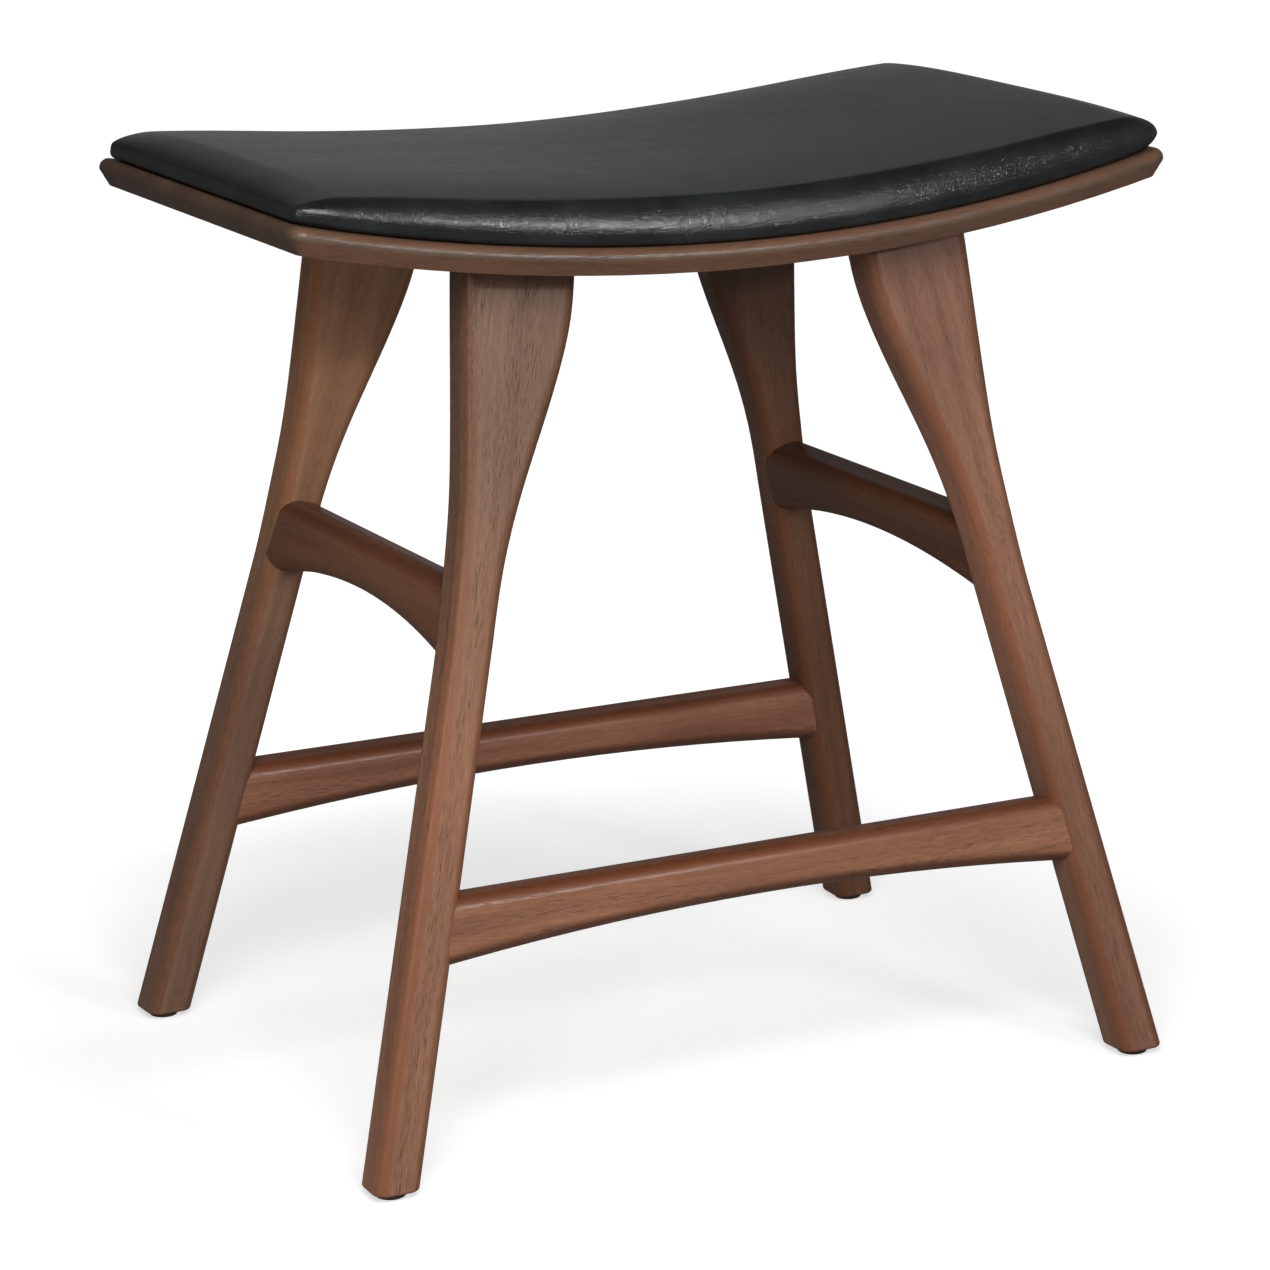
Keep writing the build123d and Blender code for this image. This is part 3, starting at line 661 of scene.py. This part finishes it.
def inflatePad(pad, held, shape):
    # cloth under pressure, held where it sits on the wood; each point moves at most by the cap
    before = np.zeros(len(pad.data.vertices) * 3)
    pad.data.vertices.foreach_get("co", before)
    group = pad.vertex_groups.new(name="heldByBoard")
    group.add(held.tolist(), 1.0, "REPLACE")
    cloth = pad.modifiers.new("inflate", "CLOTH")
    cloth.settings.vertex_group_mass = "heldByBoard"
    cloth.settings.use_pressure = True
    cloth.settings.uniform_pressure_force = shape["pressure"]
    cloth.settings.effector_weights.gravity = 0.0
    cloth.settings.tension_stiffness = shape["stretch"]
    cloth.settings.compression_stiffness = shape["stretch"]
    cloth.settings.bending_stiffness = shape["bending"]
    cloth.settings.air_damping = shape["drag"]
    cloth.collision_settings.use_collision = False
    cloth.point_cache.frame_start = 1
    cloth.point_cache.frame_end = shape["steps"]
    scene = bpy.context.scene
    for step in range(1, shape["steps"] + 1):
        scene.frame_set(step)
    shaped = pad.evaluated_get(bpy.context.evaluated_depsgraph_get())
    after = np.zeros(len(before))
    shaped.data.vertices.foreach_get("co", after)
    pad.modifiers.remove(cloth)
    pad.vertex_groups.remove(group)
    scene.frame_set(1)
    move = (after - before).reshape(-1, 3)
    size = np.linalg.norm(move, axis=1)
    most, middle = (round(float(amount) * 1000, 2) for amount in (size.max(), np.median(size)))
    print("stool: pad moved by up to", most, "mm, middle", middle)
    # the movement's length becomes the cap times the tanh of its share of the cap
    cap = shape["swell"]
    move *= (cap * np.tanh(size / cap) / np.maximum(size, 1e-9))[:, None]
    # small puckers are evened out: each movement becomes the mean of its own
    # and its neighbours', a few times
    ends = np.zeros(len(pad.data.edges) * 2, int)
    pad.data.edges.foreach_get("vertices", ends)
    first, second = ends[0::2], ends[1::2]
    count = np.bincount(ends, minlength=len(move)) + 1.0
    for evenPass in range(shape["evenPasses"]):
        total = move.copy()
        np.add.at(total, first, move[second])
        np.add.at(total, second, move[first])
        move = total / count[:, None]
    move[held] = 0.0
    pad.data.vertices.foreach_set("co", (before.reshape(-1, 3) + move).ravel())
    pad.data.update()


leatherLook = {
    "base": tone(19, 21, 22),
    "worn": tone(28, 31, 32),
    "wornReach": (0.35, 0.7),
    "roughness": 0.14,
    "slowRoughness": 0.08,
    "fineRoughness": 0.06,
    "specular": 0.42,
    # pebbled grain
    "pebble": 880.0,  # cells per metre
    "wobble": (420.0, 420.0, 420.0),
    "pebbleRound": 0.30,  # how far from its border a pebble is level, in cells
    "fine": (2600.0, 2600.0, 2600.0),
    "fineShare": 0.25,
    "pebbleStrength": 0.55,
    "pebbleDepth": 0.00008,
    # creases, drawn out across the roll, on its steep part near the +X end
    "crease": (520.0, 40.0, 40.0),
    "creaseNoise": (2.0, 0.6, 0.4),  # detail, roughness, distortion
    "creaseSteep": (0.55, 0.9),  # upward part of the normal
    "creaseReach": (0.07, 0.17),  # metres from the middle
    "creaseStrength": 0.04,
    "creaseDepth": 0.0008,
    # slow unevenness of the hide
    "slow": (38.0, 38.0, 38.0),
    "slowStrength": 0.25,
    "slowDepth": 0.002,
}


def makeLeather(name, look):
    # pebbles: distance to the borders of Voronoi cells, rounded;
    # over them creases and the hide's slow unevenness
    material, tree, shader = newMaterial(name)
    place = objectPlace(tree)
    wobble = stretched(tree, place, look["wobble"], detail=2.0)
    offset = addNode(tree, "CombineXYZ", X=wobble, Y=wobble, Z=wobble).outputs[0]
    scaled = vectorNode(tree, "MULTIPLY", place, (look["pebble"],) * 3)
    cells = addNode(tree, "TexVoronoi", Vector=vectorNode(tree, "ADD", scaled, offset), Scale=1.0)
    cells.feature = "DISTANCE_TO_EDGE"
    pebble = spread(tree, cells.outputs["Distance"], 0.0, look["pebbleRound"])
    slow = stretched(tree, place, look["slow"])
    fine = stretched(tree, place, look["fine"], detail=1.0)
    colour = blendColour(tree, spread(tree, slow, *look["wornReach"]), look["base"], look["worn"])
    rough = shareOf(tree, fine, look["fineRoughness"], look["roughness"])
    rough = shareOf(tree, slow, look["slowRoughness"], rough)
    grain = addNode(tree, "Bump", Strength=look["pebbleStrength"], Distance=look["pebbleDepth"],
                    Height=shareOf(tree, fine, look["fineShare"], pebble))
    crease = stretched(tree, place, look["crease"], *look["creaseNoise"])
    upward = mathNode(tree, "ABSOLUTE", partOf(tree, faceNormal(tree), "Z"))
    steep = spread(tree, upward, *look["creaseSteep"], 1.0, 0.0)
    towardsEnd = spread(tree, partOf(tree, place, "X"), *look["creaseReach"])
    folds = addNode(tree, "Bump", Strength=look["creaseStrength"], Distance=look["creaseDepth"],
                    Height=product(tree, steep, towardsEnd, crease), Normal=grain.outputs[0])
    broad = addNode(tree, "Bump", Strength=look["slowStrength"], Distance=look["slowDepth"],
                    Height=slow, Normal=folds.outputs[0])
    setInputs(tree, shader, Base_Color=colour, Roughness=rough,
              Specular_IOR_Level=look["specular"], Normal=broad.outputs[0])
    return material


pad, heldPoints = makePad(padShape)
inflatePad(pad, heldPoints, padShape)
smoother = pad.modifiers.new("smooth", "SUBSURF")
smoother.levels = padShape["smoothing"]
smoother.render_levels = padShape["smoothing"]
pad.data.materials.append(makeLeather("blackLeather", leatherLook))
pad.data.polygons.foreach_set("use_smooth", np.ones(len(pad.data.polygons), bool))
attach(pad, "root")
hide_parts("leather_cover", "pad_foam")
print("stool: pad made,", len(pad.data.vertices), "points")


# Floor: plain and pale, near white to the camera, with the stool's soft shadow
floorLook = {
    "half": 16.0,
    "colour": tone(190, 190, 190),
    "glossColour": tone(100, 100, 100),  # seen in gloss
    "glossShare": 0.08,
    "glowNear": 0.62,
    "glowFar": 1.0,
    "glowReach": (0.26, 0.60),  # metres from the middle
    "roughness": 0.9,
}


def makeFloor(look):
    half = look["half"]
    corners = [(-half, -half, 0.0), (half, -half, 0.0), (half, half, 0.0), (-half, half, 0.0)]
    mesh = bpy.data.meshes.new("studioFloor")
    mesh.from_pydata(corners, [], [(0, 1, 2, 3)])
    floor = bpy.data.objects.new("studioFloor", mesh)
    bpy.context.scene.collection.objects.link(floor)
    material, tree, shader = newMaterial("paleFloor")
    # glow for the camera grows with the distance from the middle; glossy rays see a darker floor
    path = tree.nodes.new("ShaderNodeLightPath")
    inGloss = path.outputs["Is Glossy Ray"]
    byCamera, through = path.outputs["Is Camera Ray"], path.outputs["Is Transmission Ray"]
    direct = mathNode(tree, "ADD", byCamera, through, clamp=True)
    away = vectorNode(tree, "LENGTH", objectPlace(tree), (0.0, 0.0, 0.0), 1)
    glow = spread(tree, away, *look["glowReach"], look["glowNear"], look["glowFar"])
    setInputs(tree, shader, Roughness=look["roughness"], Specular_IOR_Level=0.0, Emission_Color=plain,
              Base_Color=blendColour(tree, inGloss, look["colour"], look["glossColour"]),
              Emission_Strength=shareOf(tree, inGloss, look["glossShare"], product(tree, direct, glow)))
    mesh.materials.append(material)


makeFloor(floorLook)


# Light: one large soft window in front, two small lamps for the sheen on leather and edges
lamps = {
    "window": {"azimuth": -115.0, "height": 34.0, "distance": 1.65, "size": (1.00, 0.92), "power": 30.6,
               "colour": (1.0, 1.0, 1.0)},
    "strip": {"azimuth": -71.0, "height": 21.5, "distance": 1.69, "size": (0.28, 0.08), "power": 7.0,
              "colour": (1.0, 1.0, 1.0)},
    "side": {"azimuth": -150.0, "height": 14.0, "distance": 1.7, "size": (0.22, 0.70), "power": 3.4,
             "colour": (1.0, 0.85, 0.70)},
}
lampAim = (0.0, 0.0, 0.25)  # middle of the stool


def addLamp(name, lamp):
    # an area light at a compass angle, height angle and distance from the middle of the stool
    azimuth, height = math.radians(lamp["azimuth"]), math.radians(lamp["height"])
    level = math.cos(height)
    direction = Vector((math.cos(azimuth) * level, math.sin(azimuth) * level, math.sin(height)))
    data = bpy.data.lights.new(name, "AREA")
    data.shape = "RECTANGLE"
    data.size, data.size_y = lamp["size"]
    data.energy = lamp["power"]
    data.color = lamp["colour"]
    light = bpy.data.objects.new(name, data)
    light.location = Vector(lampAim) + direction * lamp["distance"]
    light.rotation_euler = direction.to_track_quat("Z", "Y").to_euler()
    light.visible_camera = False
    bpy.context.scene.collection.objects.link(light)


for name, lamp in lamps.items():
    addLamp(name, lamp)


# Room: a weak even fill, and in gloss a pale wall that is dark overhead and on the -X side
roomLook = {
    "fill": 0.055,
    # height of the direction, brightness seen in gloss
    "bands": ((0.0, 0.33), (0.14, 0.18), (0.25, 0.14), (0.34, 0.15), (0.42, 0.21),
              (0.50, 0.31), (0.58, 0.29), (0.70, 0.05), (1.0, 0.05)),
    "leftShare": 0.36,  # how much of it is left on the -X side
    "leftReach": (0.04, 0.38),  # part of the direction along X
}


def setRoom(look):
    # strength = fill, but white for the camera, and for glossy rays the band of their height
    # times the share of their side
    world = bpy.data.worlds.new("paleRoom")
    bpy.context.scene.world = world
    world.use_nodes = True
    tree = world.node_tree
    path = tree.nodes.new("ShaderNodeLightPath")
    mirrored = mathNode(tree, "ADD", path.outputs["Is Glossy Ray"], path.outputs["Is Transmission Ray"])
    seen = mathNode(tree, "ADD", path.outputs["Is Camera Ray"], mirrored, clamp=True)
    direction = tree.nodes.new("ShaderNodeTexCoord").outputs["Generated"]
    stops = [(height, (level, level, level, 1.0)) for height, level in look["bands"]]
    band = rampNode(tree, partOf(tree, direction, "Z"), stops)
    side = spread(tree, partOf(tree, direction, "X"), *look["leftReach"], look["leftShare"], 1.0)
    shown = mathNode(tree, "MAXIMUM", product(tree, band, side), path.outputs["Is Camera Ray"])
    strength = addNode(tree, "Mix", Factor=seen, A=look["fill"], B=shown).outputs[0]
    setInputs(tree, tree.nodes["Background"], Color=plain, Strength=strength)


setRoom(roomLook)
bpy.context.scene.view_settings.view_transform = "Standard"
print("stool: studio set")
